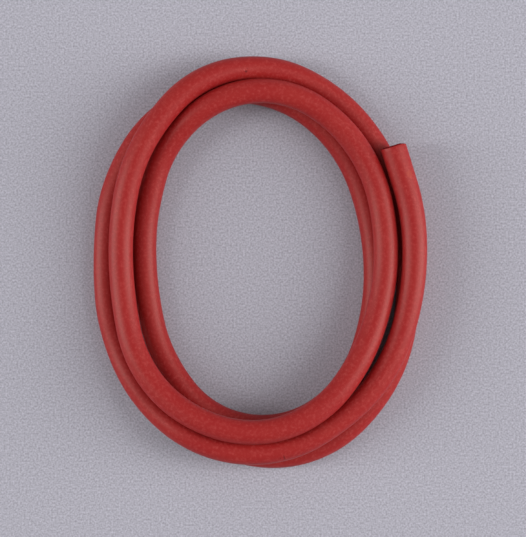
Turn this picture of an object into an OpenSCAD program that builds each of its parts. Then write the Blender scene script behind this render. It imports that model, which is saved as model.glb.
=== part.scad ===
// Rubber gas tubing: one length of red hose, cut square at both ends and laid down in an oval coil

/* [Hose] */

// outside diameter of the hose
hose_d = 12; // [10:0.5:14]
// thickness of its wall
wall = 2; // [1:0.25:3]
// straight length at each cut end, which is pushed over a gas nozzle
end_l = 20; // [14:1:26]

/* [Coil] */

// width of the mean oval, measured on the centre line
oval_w = 138; // [126:1:180]
// length of the mean oval, measured on the centre line
oval_l = 170; // [156:1:220]
// clear space between a strand and the strands beside and below it
strand_gap = 0.3; // [0.2:0.1:1]

/* [Hidden] */

$fn = 48;

bore = hose_d - 2 * wall;
// spacing of strands that lie against each other, and the unit of the lay
pitch = hose_d + strand_gap;
// centre of the oval, with the middle of the whole coil over the origin
oval_x = 0.8;
oval_y = 0.1;

// How the coil was laid down, from the open end to the end that lies underneath. Each row is a place
// on the way: degrees round the oval, pitches outside the mean oval, pitches above the table.
lay = [
  // on top, outermost on the right
  [65.5, 0.68, 0.96],
  [95, 0.48, 1.02],
  [130, 0.46, 1.00],
  [150, 0.41, 1.00],
  [170, 0.57, 1.00],
  [200, 0.79, 1.00],
  // down to the table, outermost on the left
  [225, 0.86, 0.45],
  [250, 0.76, 0],
  [270, 0.64, 0],
  [295, 0.79, 0],
  // inward along the table, under two strands
  [320, 0.73, 0],
  [345, 0.21, 0],
  [365, -0.20, 0],
  [400, -0.72, 0],
  // innermost on the table, for most of a turn
  [440, -1.03, 0],
  [470, -0.84, 0],
  [490, -0.57, 0],
  [515, -0.33, 0],
  [540, -0.30, 0],
  [565, -0.39, 0],
  [590, -0.67, 0],
  [625, -0.94, 0],
  // up and over the strand that runs inward
  [650, -0.74, 0.10],
  [675, -0.33, 0.42],
  [697, -0.14, 0.89],
  [720, -0.07, 1.04],
  [765, -0.27, 0.88],
  [810, -0.64, 0.95],
  // higher, where it leans on the strand with the open end
  [830, -0.70, 1.08],
  [850, -0.62, 1.34],
  [870, -0.44, 1.56],
  [890, -0.28, 1.64],
  [920, -0.05, 1.62],
  [945, 0.18, 1.30],
  // on top of the two strands on the left, then outermost
  [990, -0.02, 0.82],
  [1035, 0.54, 1.12],
  [1060, 0.88, 0.97],
  // down to the table again, under the open end
  [1082, 0.84, 0.48],
  [1108, 0.57, 0.08],
  [1135, 0.38, 0],
  [1175, 0.37, 0],
  [1212, 0.82, 0],
  [1240, 0.99, 0],
  [1265, 0.78, 0],
];
last = len(lay) - 1;

// stretches of hose lap into each other, and every second one is a hair thinner on both faces
lap = 0.2;
hair = 0.01;

function unit(v) = v / norm(v);

// point on the centre line for one place in the lay
function spot(turn, out, up) =
  let (away = unit([sin(turn) / oval_w, cos(turn) / oval_l]) * out * pitch)
  [
    oval_x + oval_w / 2 * sin(turn) + away.x,
    oval_y + oval_l / 2 * cos(turn) + away.y,
    hose_d / 2 + up * pitch
  ];

// degrees from row i to the next, and what a column of the lay changes by per degree between them
function span(i) = lay[i + 1][0] - lay[i][0];
function change(i, column) = (lay[i + 1][column] - lay[i][column]) / span(i);
// slope at row i, as of a curve through the rows before and after it
function slope(i, column) =
  i == 0 ? change(0, column)
  : (change(i - 1, column) * span(i) + change(i, column) * span(i - 1)) / (span(i - 1) + span(i));
// slope of the height, which is level at the open end, on the table and wherever it turns up or down
function climb(i) = i == 0 || change(i - 1, 2) * change(i, 2) <= 0 ? 0 : slope(i, 2);

// direction of the hose at row i
function heading(i) =
  let (step = 0.01, out = slope(i, 1) * step, up = climb(i) * step)
  unit(spot(lay[i][0] + step, lay[i][1] + out, lay[i][2] + up)
    - spot(lay[i][0] - step, lay[i][1] - out, lay[i][2] - up));

// two arcs that leave p along t and arrive at q along u, each as start, direction and finish
function two_arcs(p, t, q, u) =
  let (
    v = q - p,
    s = v * (t + u),
    k = 1 - t * u,
    reach = (sqrt(s * s + 2 * k * v * v) - s) / (2 * k),
    a = p + reach * t,
    b = q - reach * u
  )
  [[p, t, (a + b) / 2], [(a + b) / 2, unit(b - a), q]];

// direction in which one arc that leaves p along t arrives at q
function arrival(p, t, q) =
  let (c = unit(q - p))
  2 * (t * c) * c - t;

spots = [for (row = lay) spot(row[0], row[1], row[2])];
headings = [for (i = [0:last - 1]) heading(i)];
under_end = arrival(spots[last - 1], headings[last - 1], spots[last]);
// an odd number of stretches in all, so that both ends have the full section
stretches = concat(
  [[spots[0] - end_l * headings[0], headings[0], spots[0]]],
  [for (i = [0:last - 2]) each two_arcs(spots[i], headings[i], spots[i + 1], headings[i + 1])],
  [[spots[last - 1], headings[last - 1], spots[last]]],
  [[spots[last], under_end, spots[last] + end_l * under_end]]
);

module section(thinner) {
  difference() {
    circle(d = hose_d - 2 * thinner);
    circle(d = bore + 2 * thinner);
  }
}

// one stretch of hose, bent to a true arc or straight, and longer at both ends by extra
module stretch(start, along, finish, thinner, extra) {
  chord = finish - start;
  aside = chord - (chord * along) * along;
  if (norm(aside) > 0.001 * norm(chord)) {
    inward = unit(aside);
    radius = chord * chord / (2 * (chord * inward));
    bend = 2 * atan2(chord * inward, chord * along);
    more = extra / radius * 180 / PI;
    axis = cross(along, inward);
    centre = start + radius * inward;
    multmatrix([for (i = [0:2]) [-inward[i], along[i], axis[i], centre[i]]])
      rotate_extrude(angle = bend + 2 * more, start = -more)
        translate([radius, 0])
          section(thinner);
  } else {
    side = unit(cross([0, 0, 1], along));
    upright = cross(along, side);
    foot = start - extra * along;
    multmatrix([for (i = [0:2]) [side[i], upright[i], along[i], foot[i]]])
      linear_extrude(norm(chord) + 2 * extra)
        section(thinner);
  }
}

module hose() {
  color("firebrick")
    for (i = [0:len(stretches) - 1]) {
      thin = i % 2;
      stretch(stretches[i][0], stretches[i][1], stretches[i][2], thin * hair, thin * lap);
    }
}

hose();
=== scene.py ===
import math

import bpy
import numpy as np
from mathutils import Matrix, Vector


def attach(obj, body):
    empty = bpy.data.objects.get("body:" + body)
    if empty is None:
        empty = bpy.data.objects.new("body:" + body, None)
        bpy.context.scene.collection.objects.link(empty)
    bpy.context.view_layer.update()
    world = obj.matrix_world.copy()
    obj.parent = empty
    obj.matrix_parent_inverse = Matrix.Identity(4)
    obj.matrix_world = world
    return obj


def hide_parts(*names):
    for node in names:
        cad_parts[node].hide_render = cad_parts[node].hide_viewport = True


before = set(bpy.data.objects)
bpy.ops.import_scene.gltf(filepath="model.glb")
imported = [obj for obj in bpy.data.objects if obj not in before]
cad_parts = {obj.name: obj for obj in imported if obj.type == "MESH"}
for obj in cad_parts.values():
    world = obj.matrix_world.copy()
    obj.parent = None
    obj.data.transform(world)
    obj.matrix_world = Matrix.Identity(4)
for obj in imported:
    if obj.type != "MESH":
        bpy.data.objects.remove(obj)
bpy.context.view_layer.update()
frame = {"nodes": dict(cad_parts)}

scene = bpy.context.scene
scene.view_settings.view_transform = "Standard"
print("frame loaded:", ", ".join(frame["nodes"]))


# camera, straight above the coil
photoView = {
    "width": 526, "height": 537,  # pixels
    "tall": 0.2631,               # metres from the top edge to the bottom edge, at this level
    "level": 0.0183,              # height of the upper strands' middle
    "above": 1.2,                 # camera over the table
    "aim": (0.0018, -0.0028),
    "nearest": 0.01, "farthest": 50,
}


def addCamera(view):
    data = bpy.data.cameras.new("viewFromAbove")
    longSide = view["tall"] * max(view["width"] / view["height"], 1)
    data.lens = data.sensor_width * (view["above"] - view["level"]) / longSide
    data.clip_start, data.clip_end = view["nearest"], view["farthest"]
    camera = bpy.data.objects.new("viewFromAbove", data)
    camera.location = (*view["aim"], view["above"])
    scene.collection.objects.link(camera)
    scene.camera = camera


addCamera(photoView)
print("camera set")


# makes the nodes of a tree, and links or sets their inputs
class TreeMaker:
    def __init__(self, tree):
        self.tree = tree

    def add(self, kind, inputs=None, **settings):
        node = self.tree.nodes.new(kind)
        for name, value in settings.items():
            setattr(node, name, value)
        self.feedAll(node, inputs or {})
        return node

    def feedAll(self, node, inputs):
        for key, value in inputs.items():
            self.feed(node.inputs[key], value)

    def feed(self, socket, value):
        if isinstance(value, bpy.types.NodeSocket):
            self.tree.links.new(value, socket)
        else:
            socket.default_value = value

    def math(self, operation, a, b=0.0):
        return self.add("ShaderNodeMath", {0: a, 1: b}, operation=operation).outputs[0]

    def vector(self, operation, a, b=(0, 0, 0)):
        node = self.add("ShaderNodeVectorMath", {0: a, 1: b}, operation=operation)
        return node.outputs["Value" if operation in ("LENGTH", "DOT_PRODUCT") else "Vector"]

    def scaled(self, a, by):
        return self.add("ShaderNodeVectorMath", {0: a, "Scale": by}, operation="SCALE").outputs["Vector"]

    # goes from first to last while value goes from start to end
    def remap(self, value, start, end, first, last, course="LINEAR"):
        inputs = {0: value, 1: start, 2: end, 3: first, 4: last}
        return self.add("ShaderNodeMapRange", inputs, interpolation_type=course).outputs[0]

    def noise(self, place, scale, detail=2.0, roughness=0.5):
        inputs = {"Vector": place, "Scale": scale, "Detail": detail, "Roughness": roughness}
        return self.add("ShaderNodeTexNoise", inputs).outputs[0]

    def mix(self, share, first, second):
        node = self.add("ShaderNodeMix", {0: share}, data_type="RGBA")
        for socket, colour in ((node.inputs[6], first), (node.inputs[7], second)):  # its two colours
            self.feed(socket, (*colour, 1) if isinstance(colour, tuple) else colour)
        return node.outputs[2]


# the hose, laid in its coil
hoseSizes = {
    "diameter": 0.012, "wall": 0.002,
    "length": 1.687,
    "gap": 0.0003,                     # between strands that lie against each other
    "ovalWide": 0.138, "ovalLong": 0.170, "ovalAt": (0.0008, 0.0001),
    "endStraight": 0.020,
    "ringStep": 0.0022, "sides": 48,   # of the mesh
    "lipRound": 0.0003,                # worn edge of the cut
    "cutWave": 0.00015,                # a knife cut is never quite flat
    "waveScale": 210.0,
    "cutLean": 0.07,                   # it looks up a little
    "cutCorner": 0.0010,               # and runs off at one side
    "endSwell": 0.0004,                # the open end has grown on its outside, from use
    "swellLength": 0.090,
}

# places along the hose: degrees round the oval, then strand pitches outside it and above the table
hoseLay = [
    # on top at the right
    (65.5, 0.68, 0.96), (95, 0.48, 1.02), (130, 0.46, 1.00),
    (150, 0.41, 1.00), (170, 0.57, 1.00), (200, 0.79, 1.00),
    # down to the table at the left
    (225, 0.86, 0.45), (250, 0.76, 0), (270, 0.64, 0), (295, 0.79, 0),
    # inward along the table, under two strands
    (320, 0.73, 0), (345, 0.21, 0), (365, -0.20, 0), (400, -0.72, 0),
    # innermost on the table
    (440, -1.03, 0), (470, -0.84, 0), (490, -0.57, 0), (515, -0.33, 0),
    (540, -0.30, 0), (565, -0.39, 0), (590, -0.67, 0), (625, -0.94, 0),
    # up and over the strand that runs inward
    (650, -0.74, 0.10), (675, -0.33, 0.42), (697, -0.14, 0.89),
    (720, -0.07, 1.04), (765, -0.27, 0.88), (810, -0.64, 0.95),
    # highest at the bottom, leaning on the strand with the open end
    (830, -0.70, 1.08), (850, -0.62, 1.34), (870, -0.44, 1.56),
    (890, -0.28, 1.64), (920, -0.05, 1.62), (945, 0.18, 1.30),
    # on top at the left, then outermost
    (990, -0.02, 0.82), (1035, 0.54, 1.12), (1060, 0.88, 0.97),
    # down to the table again, under the open end
    (1082, 0.84, 0.48), (1108, 0.57, 0.08), (1135, 0.38, 0), (1175, 0.37, 0),
    (1212, 0.82, 0), (1240, 0.99, 0), (1265, 0.78, 0),
]


def unit(v):
    return v / np.linalg.norm(v)


# middle of the hose at one place of the lay
def placeOnTable(turn, out, up, sizes):
    pitch = sizes["diameter"] + sizes["gap"]
    side, far = math.sin(math.radians(turn)), math.cos(math.radians(turn))
    away = unit(np.array([side / sizes["ovalWide"], far / sizes["ovalLong"]])) * out * pitch
    return np.array([sizes["ovalWide"] / 2 * side + away[0] + sizes["ovalAt"][0],
                     sizes["ovalLong"] / 2 * far + away[1] + sizes["ovalAt"][1],
                     sizes["diameter"] / 2 + up * pitch])


# change per degree of one column of the lay, from row i to the next
def changeAfter(i, column, lay):
    return (lay[i + 1][column] - lay[i][column]) / (lay[i + 1][0] - lay[i][0])


# the same at row i, as of a curve through the rows before and after it
def slopeAt(i, column, lay):
    after = changeAfter(i, column, lay)
    if i == 0:
        return after
    before = changeAfter(i - 1, column, lay)
    spanBefore, spanAfter = lay[i][0] - lay[i - 1][0], lay[i + 1][0] - lay[i][0]
    return (before * spanAfter + after * spanBefore) / (spanBefore + spanAfter)


# slope of the height, which is level at the open end, on the table and at each high and low
def climbAt(i, lay):
    if i == 0 or changeAfter(i - 1, 2, lay) * changeAfter(i, 2, lay) <= 0:
        return 0.0
    return slopeAt(i, 2, lay)


# direction of the hose at row i
def headingAt(i, lay, sizes, step=0.01):
    turn, out, up = lay[i]
    outStep, upStep = slopeAt(i, 1, lay) * step, climbAt(i, lay) * step
    return unit(placeOnTable(turn + step, out + outStep, up + upStep, sizes)
                - placeOnTable(turn - step, out - outStep, up - upStep, sizes))


# points on an arc that leaves start in the direction along, up to just before finish
def arcPoints(start, along, finish, step):
    chord = finish - start
    inward = unit(chord - (chord @ along) * along)
    radius = chord @ chord / (2 * (chord @ inward))
    bend = 2 * math.atan2(chord @ inward, chord @ along)
    count = max(2, math.ceil(radius * bend / step))
    angles = [bend * k / count for k in range(count)]
    return [start + radius * (math.sin(a) * along + (1 - math.cos(a)) * inward) for a in angles]


# the same on two arcs that leave p along t and arrive at q along u
def twoArcPoints(p, t, q, u, step):
    v = q - p
    s, k = v @ (t + u), 1 - t @ u
    reach = (math.sqrt(s * s + 2 * k * (v @ v)) - s) / (2 * k)
    a, b = p + reach * t, q - reach * u
    middle = (a + b) / 2
    return arcPoints(p, t, middle, step) + arcPoints(middle, unit(b - a), q, step)


# middle of each ring, which leaves room for the lips, and the middles of the two cuts
def hoseRoute(lay, sizes):
    spots = [placeOnTable(*row, sizes) for row in lay]
    headings = [headingAt(i, lay, sizes) for i in range(len(lay) - 1)]
    step, trim, endLength = sizes["ringStep"], sizes["lipRound"], sizes["endStraight"]
    endRings = math.ceil(endLength / step)
    route = [spots[0] - headings[0] * d for d in np.linspace(endLength - trim, step, endRings)]
    for i in range(len(lay) - 2):
        route += twoArcPoints(spots[i], headings[i], spots[i + 1], headings[i + 1], step)
    route += arcPoints(spots[-2], headings[-1], spots[-1], step)
    chord = unit(spots[-1] - spots[-2])
    leaving = 2 * (headings[-1] @ chord) * chord - headings[-1]
    route += [spots[-1] + leaving * d for d in np.linspace(0, endLength - trim, endRings)]
    mouth = spots[0] - headings[0] * endLength
    farEnd = spots[-1] + leaving * endLength
    return route, mouth, farEnd


def hoseTree():
    tree = bpy.data.node_groups.new("hoseAlongRoute", "GeometryNodeTree")
    face = tree.interface
    face.new_socket("Geometry", in_out="INPUT", socket_type="NodeSocketGeometry")
    for name in ("Outside radius", "Wall", "Lip round", "Cut wave", "Wave scale", "Cut lean", "Cut corner",
                 "End swell", "Swell length"):
        face.new_socket(name, in_out="INPUT", socket_type="NodeSocketFloat")
    face.new_socket("Sides", in_out="INPUT", socket_type="NodeSocketInt")
    for name in ("Rubber", "Cut rubber"):
        face.new_socket(name, in_out="INPUT", socket_type="NodeSocketMaterial")
    face.new_socket("Geometry", in_out="OUTPUT", socket_type="NodeSocketGeometry")
    make = TreeMaker(tree)
    given = make.add("NodeGroupInput").outputs
    radius, wall, lip = given["Outside radius"], given["Wall"], given["Lip round"]
    boreRadius = make.math("SUBTRACT", radius, wall)
    position = make.add("GeometryNodeInputPosition").outputs[0]
    touching = 0.00002  # nearer than this is the same place

    # each ring remembers its place on the route
    level = make.add("GeometryNodeSetCurveNormal", {"Curve": given["Geometry"]}, mode="Z_UP").outputs[0]
    onRoute = make.add("GeometryNodeCaptureAttribute", {"Geometry": level}, domain="POINT")
    tangent = make.add("GeometryNodeInputTangent").outputs[0]
    walked = make.add("GeometryNodeSplineParameter").outputs["Length"]
    for kind, name, source in (("VECTOR", "centre", position), ("VECTOR", "along", tangent),
                               ("FLOAT", "distance", walked)):
        onRoute.capture_items.new(kind, name)
        make.feed(onRoute.inputs[name], source)
    route, centre = onRoute.outputs["Geometry"], onRoute.outputs["centre"]
    along, distance = onRoute.outputs["along"], onRoute.outputs["distance"]
    total = make.add("GeometryNodeCurveLength", {"Curve": given["Geometry"]}).outputs[0]
    toFarEnd = make.math("SUBTRACT", total, distance)
    fromEnd = make.math("MINIMUM", distance, toFarEnd)
    endSign = make.math("SIGN", make.math("SUBTRACT", distance, toFarEnd))
    endways = make.scaled(along, endSign)
    fromCentre = make.vector("SUBTRACT", position, centre)
    sideways = make.vector("NORMALIZE", make.vector("CROSS_PRODUCT", along, (0, 0, 1)))
    upward = make.vector("CROSS_PRODUCT", sideways, along)
    across = make.vector("DOT_PRODUCT", fromCentre, sideways)
    height = make.vector("DOT_PRODUCT", fromCentre, upward)

    def tube(ringRadius):
        sizes = {"Resolution": given["Sides"], "Radius": ringRadius}
        ring = make.add("GeometryNodeCurvePrimitiveCircle", sizes, mode="RADIUS").outputs["Curve"]
        return make.add("GeometryNodeCurveToMesh", {"Curve": route, "Profile Curve": ring}).outputs[0]

    # outer wall, whose two edges are drawn in over the cut, round both lips, until they meet the bore
    outer = make.add("GeometryNodeCaptureAttribute", {"Geometry": tube(radius)}, domain="POINT")
    outer.capture_items.new("VECTOR", "outward")
    make.feed(outer.inputs["outward"], make.vector("NORMALIZE", fromCentre))
    shell, outward = outer.outputs["Geometry"], outer.outputs["outward"]
    neighbours = make.add("GeometryNodeInputMeshEdgeNeighbors").outputs["Face Count"]
    rim = make.add("FunctionNodeCompare", {2: neighbours, 3: 1}, data_type="INT",
                   operation="EQUAL").outputs[0]
    outerLip = [(0.3, 0.7), (0.7, 0.3), (0.5, 0.0)]    # shares of the lip's round, inward and endways
    innerLip = [(0.5, 0.0), (0.7, -0.3), (0.3, -0.7)]
    bothLips = 3.0                                     # the inward shares together
    acrossCut = make.math("SUBTRACT", wall, make.math("MULTIPLY", lip, bothLips))

    def lipStep(step):
        return make.math("MULTIPLY", lip, step[0]), make.math("MULTIPLY", lip, step[1])

    for inward, endStep in (*map(lipStep, outerLip), (acrossCut, 0.0), *map(lipStep, innerLip)):
        offset = make.vector("SUBTRACT", make.scaled(endways, endStep), make.scaled(outward, inward))
        drawn = make.add("GeometryNodeExtrudeMesh", {"Mesh": shell, "Selection": rim, "Offset": offset,
                                                     "Offset Scale": 1.0}, mode="EDGES")
        shell, rim = drawn.outputs["Mesh"], drawn.outputs["Top"]
    bore = make.add("GeometryNodeFlipFaces", {"Mesh": tube(boreRadius)}).outputs[0]
    joined = make.add("GeometryNodeJoinGeometry")
    tree.links.new(bore, joined.inputs[0])
    tree.links.new(shell, joined.inputs[0])
    whole = make.add("GeometryNodeMergeByDistance", {"Geometry": joined.outputs[0],
                                                     "Distance": touching}).outputs[0]

    # place on the hose as if it were pulled straight, for the rubber's grain and marks
    straight = make.add("ShaderNodeCombineXYZ", {"X": across, "Y": height, "Z": distance}).outputs[0]
    whole = make.add("GeometryNodeStoreNamedAttribute", {"Geometry": whole, "Name": "straightPlace",
                                                         "Value": straight},
                     data_type="FLOAT_VECTOR", domain="POINT").outputs[0]

    # the last millimetres follow the knife, and one side runs off from half the radius outward
    near = make.remap(fromEnd, 0.0, wall, 1.0, 0.0)
    wave = make.math("SUBTRACT", make.noise(position, given["Wave scale"]), 0.5)
    wave = make.math("MULTIPLY", wave, make.math("MULTIPLY", given["Cut wave"], 2.0))
    lean = make.math("MULTIPLY", height, given["Cut lean"])
    corner = make.remap(make.math("DIVIDE", across, radius), -0.5, -1.0, 0.0, 1.0)
    corner = make.math("MULTIPLY", make.math("POWER", corner, 2.0), given["Cut corner"])
    cutOff = make.math("SUBTRACT", make.math("SUBTRACT", wave, lean), corner)
    offset = make.scaled(endways, make.math("MULTIPLY", near, cutOff))

    # the open end is a little thicker, while its bore stays true
    swell = make.remap(distance, 0.0, given["Swell length"], given["End swell"], 0.0, "SMOOTHSTEP")
    inWall = make.math("SUBTRACT", make.vector("LENGTH", fromCentre), boreRadius)
    swell = make.math("MULTIPLY", swell, make.math("DIVIDE", inWall, wall))
    offset = make.vector("ADD", offset, make.scaled(make.vector("NORMALIZE", fromCentre), swell))
    whole = make.add("GeometryNodeSetPosition", {"Geometry": whole, "Offset": offset}).outputs[0]

    smooth = make.add("GeometryNodeSetShadeSmooth", {"Geometry": whole}).outputs[0]
    finished = make.add("GeometryNodeRealizeInstances", {"Geometry": smooth}).outputs[0]
    painted = make.add("GeometryNodeSetMaterial", {"Geometry": finished,
                                                   "Material": given["Rubber"]}).outputs[0]
    # the cut faces take the material with painted shade
    onCut = make.add("FunctionNodeCompare", {0: fromEnd, 1: touching}, data_type="FLOAT",
                     operation="LESS_THAN").outputs[0]
    painted = make.add("GeometryNodeSetMaterial", {"Geometry": painted, "Selection": onCut,
                                                   "Material": given["Cut rubber"]}).outputs[0]
    make.add("NodeGroupOutput", {0: painted})
    return tree


def setInputs(modifier, values):
    for item in modifier.node_group.interface.items_tree:
        if item.item_type == "SOCKET" and item.in_out == "INPUT" and item.name in values:
            modifier[item.identifier] = values[item.name]


def makeHose(lay, sizes, rubber, shadedCut):
    route, mouth, farEnd = hoseRoute(lay, sizes)
    line = bpy.data.curves.new("hoseLine", "CURVE")
    line.dimensions = "3D"
    spline = line.splines.new("POLY")
    spline.points.add(len(route) - 1)
    for point, place in zip(spline.points, route):
        point.co = (*place, 1)
    carrier = bpy.data.objects.new("hoseLine", line)
    scene.collection.objects.link(carrier)
    modifier = carrier.modifiers.new("hoseAlongRoute", "NODES")
    modifier.node_group = hoseTree()
    setInputs(modifier, {
        "Outside radius": sizes["diameter"] / 2, "Wall": sizes["wall"], "Sides": sizes["sides"],
        "Lip round": sizes["lipRound"], "Cut wave": sizes["cutWave"], "Wave scale": sizes["waveScale"],
        "Cut lean": sizes["cutLean"], "Cut corner": sizes["cutCorner"],
        "End swell": sizes["endSwell"], "Swell length": sizes["swellLength"],
        "Rubber": rubber, "Cut rubber": shadedCut,
    })
    bpy.context.view_layer.update()
    graph = bpy.context.evaluated_depsgraph_get()
    mesh = bpy.data.meshes.new_from_object(carrier.evaluated_get(graph), preserve_all_data_layers=True,
                                           depsgraph=graph)
    mesh.name = "rubberHose"
    bpy.data.objects.remove(carrier)
    hose = bpy.data.objects.new("rubberHose", mesh)
    scene.collection.objects.link(hose)
    return hose, [mouth, *route, farEnd]


def startMaterial(name):
    material = bpy.data.materials.new(name)
    material.use_nodes = True
    return material, TreeMaker(material.node_tree), material.node_tree.nodes["Principled BSDF"]


rubberLook = {
    "deep": (0.318, 0.0100, 0.0126),              # linear red of a clean stretch
    "warm": (0.352, 0.0190, 0.0160),              # where the colour runs a little to orange
    "mottleScale": 55.0,
    "film": (0.640, 0.1050, 0.0960),              # dust
    "filmShare": 0.28,
    "dustScale": 700.0, "dustRange": (0.48, 0.72),
    "roughness": (0.39, 0.54),                    # clean and dusty
    "roughRange": (0.3, 0.7),
    "specular": 0.30,
    "shine": (1.0, 0.92, 0.83),                   # tint of the highlights
    "grainScale": 2600.0, "grainShare": 0.6,
    "lineScale": 900.0, "lineShare": 0.4,         # faint lines along the hose
    "lineStretch": (1.0, 1.0, 0.02),
    "relief": 0.35, "reliefDepth": 0.00006,
    "raggedScale": 1800.0, "ragged": 0.0006,      # uneven edges of the marks
    "markFade": (1.2, 0.6),                       # edge of a mark, in its half sizes
}

# small marks and one painted highlight, each at a place on the straight hose: sideways, height and distance
# from the open end
rubberMarksAndHighlight = {
    "speck": {
        "at": (0.0018, 0.0057, 1.3815), "half": (0.0006, 0.0008),
        "colour": (0.170, 0.006, 0.008), "share": 1.0,
    },
    "smallSpeck": {
        "at": (0.0004, 0.0060, 1.3822), "half": (0.0004, 0.0004),
        "colour": (0.150, 0.003, 0.004), "share": 0.5,
    },
    # painted highlight: a pale patch beside the speck, standing in for light caught by a small raised
    # blister
    "paintedHighlightSpot": {
        "at": (0.0011, 0.0059, 1.3806), "half": (0.0005, 0.0005),
        "colour": (0.500, 0.080, 0.080), "share": 0.5,
    },
    "nick": {
        "at": (-0.0040, 0.0045, 0.1784), "half": (0.0018, 0.0004),
        "colour": (0.150, 0.003, 0.004), "share": 0.8,
    },
    "smallNick": {
        "at": (-0.0039, 0.0045, 0.1803), "half": (0.0010, 0.0003),
        "colour": (0.150, 0.003, 0.004), "share": 0.5,
    },
    # a lighter, more orange blotch near the open end
    "orangeBlotch": {
        "at": (-0.0032, 0.0051, 0.0153), "half": (0.0018, 0.0020),
        "colour": (0.480, 0.060, 0.025), "share": 0.3,
    },
}


def redRubber(look, marksAndHighlight):
    material, make, surface = startMaterial("redRubber")
    place = make.add("ShaderNodeAttribute", attribute_name="straightPlace").outputs["Vector"]

    # slow drift of the red, then dust
    mottle = make.noise(place, look["mottleScale"], detail=3.0)
    colour = make.mix(mottle, look["deep"], look["warm"])
    dust = make.noise(place, look["dustScale"], detail=5.0, roughness=0.6)
    dusty = make.remap(dust, *look["dustRange"], 0.0, look["filmShare"])
    colour = make.mix(dusty, colour, look["film"])

    # marks and the painted highlight, which fade out round their edges
    edges = make.add("ShaderNodeTexNoise", {"Vector": place, "Scale": look["raggedScale"]}).outputs["Color"]
    ragged = make.scaled(make.vector("SUBTRACT", edges, (0.5, 0.5, 0.5)), look["ragged"])
    nearby = make.vector("ADD", place, ragged)
    for paintedSpot in marksAndHighlight.values():
        across, along = paintedSpot["half"]
        away = make.vector("DIVIDE", make.vector("SUBTRACT", nearby, paintedSpot["at"]), (across, across, along))
        away = make.vector("LENGTH", away)
        inside = make.remap(away, *look["markFade"], 0.0, paintedSpot["share"], "SMOOTHSTEP")
        colour = make.mix(inside, colour, paintedSpot["colour"])

    # fine grain and drawn lines, as relief
    grain = make.noise(place, look["grainScale"], detail=3.0)
    drawn = make.add("ShaderNodeMapping", {"Vector": place, "Scale": look["lineStretch"]}).outputs[0]
    lines = make.noise(drawn, look["lineScale"])
    relief = make.math("ADD", make.math("MULTIPLY", grain, look["grainShare"]),
                       make.math("MULTIPLY", lines, look["lineShare"]))
    bump = make.add("ShaderNodeBump", {"Height": relief, "Strength": look["relief"],
                                       "Distance": look["reliefDepth"]}).outputs[0]
    make.feedAll(surface, {
        "Base Color": colour,
        "Roughness": make.remap(dust, *look["roughRange"], *look["roughness"]),
        "Specular IOR Level": look["specular"],
        "Specular Tint": (*look["shine"], 1),
        "Normal": bump,
    })
    return material


# the cut face is the same red rubber; its colours here are painted shade, darker than the rubber, for the
# shadow it lies in
shadedCutLook = {
    "dark": (0.180, 0.0100, 0.0120), "light": (0.235, 0.0140, 0.0155),  # painted shade: the cut face is kept darker than the rubber; dull from the knife
    "roughness": 0.85, "specular": 0.0,
    "dragScale": 1500.0, "relief": 0.3, "reliefDepth": 0.00005,         # drag of the knife
}


def shadedCutRubber(look):
    material, make, surface = startMaterial("shadedCutRubber")
    place = make.add("ShaderNodeTexCoord").outputs["Object"]
    drag = make.noise(place, look["dragScale"], detail=3.0)
    bump = make.add("ShaderNodeBump", {"Height": drag, "Strength": look["relief"],
                                       "Distance": look["reliefDepth"]}).outputs[0]
    make.feedAll(surface, {
        "Base Color": make.mix(drag, look["dark"], look["light"]),
        "Roughness": look["roughness"],
        "Specular IOR Level": look["specular"],
        "Normal": bump,
    })
    return material


hose, centreLine = makeHose(hoseLay, hoseSizes, redRubber(rubberLook, rubberMarksAndHighlight), shadedCutRubber(shadedCutLook))
routeLength = sum(float(np.linalg.norm(b - a)) for a, b in zip(centreLine, centreLine[1:]))
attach(hose, "root")
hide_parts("hose")
print("hose made:", len(hose.data.polygons), "faces,", round(routeLength, 3), "m long")


# table and light
tableLook = {
    "colour": (0.432, 0.421, 0.475), "size": 16.0,
    "grain": 0.60, "grainScale": 1100.0,            # share lighter and darker
    "roughness": 0.9, "specular": 0.1,
}
panelLights = {
    "left": {"from": (-2.48, 0.0, 0.83), "wide": 3.5, "tall": 0.60, "power": 60.0},
    "right": {"from": (2.36, 0.0, 1.10), "wide": 3.5, "tall": 1.41, "power": 72.0},
    "lowRight": {"from": (2.58, 0.0, 0.32), "wide": 3.5, "tall": 0.46, "power": 22.0},
}
roomLight = {"colour": (0.37, 0.37, 0.38)}


def addTable(look):
    half = look["size"] / 2
    corners = [(-half, -half, 0), (half, -half, 0), (half, half, 0), (-half, half, 0)]
    mesh = bpy.data.meshes.new("table")
    mesh.from_pydata(corners, [], [(0, 1, 2, 3)])
    material, make, surface = startMaterial("palePaper")
    place = make.add("ShaderNodeTexCoord").outputs["Object"]
    grain = make.noise(place, look["grainScale"])
    darker = tuple((1 - look["grain"]) * c for c in look["colour"])
    lighter = tuple((1 + look["grain"]) * c for c in look["colour"])
    make.feedAll(surface, {
        "Base Color": make.mix(grain, darker, lighter),
        "Roughness": look["roughness"],
        "Specular IOR Level": look["specular"],
    })
    mesh.materials.append(material)
    table = bpy.data.objects.new("table", mesh)
    scene.collection.objects.link(table)


def addPanelLights(lights):
    for name, light in lights.items():
        data = bpy.data.lights.new(name + "Panel", "AREA")
        data.shape = "RECTANGLE"
        data.size, data.size_y = light["wide"], light["tall"]
        data.energy = light["power"]
        panel = bpy.data.objects.new(name + "Panel", data)
        panel.location = light["from"]
        panel.rotation_euler = (-Vector(light["from"])).to_track_quat("-Z", "Z").to_euler()
        scene.collection.objects.link(panel)


def addRoom(room):
    world = bpy.data.worlds.new("room")
    world.use_nodes = True
    world.node_tree.nodes["Background"].inputs["Color"].default_value = (*room["colour"], 1)
    scene.world = world


addTable(tableLook)
addPanelLights(panelLights)
addRoom(roomLight)
print("table and lights set")
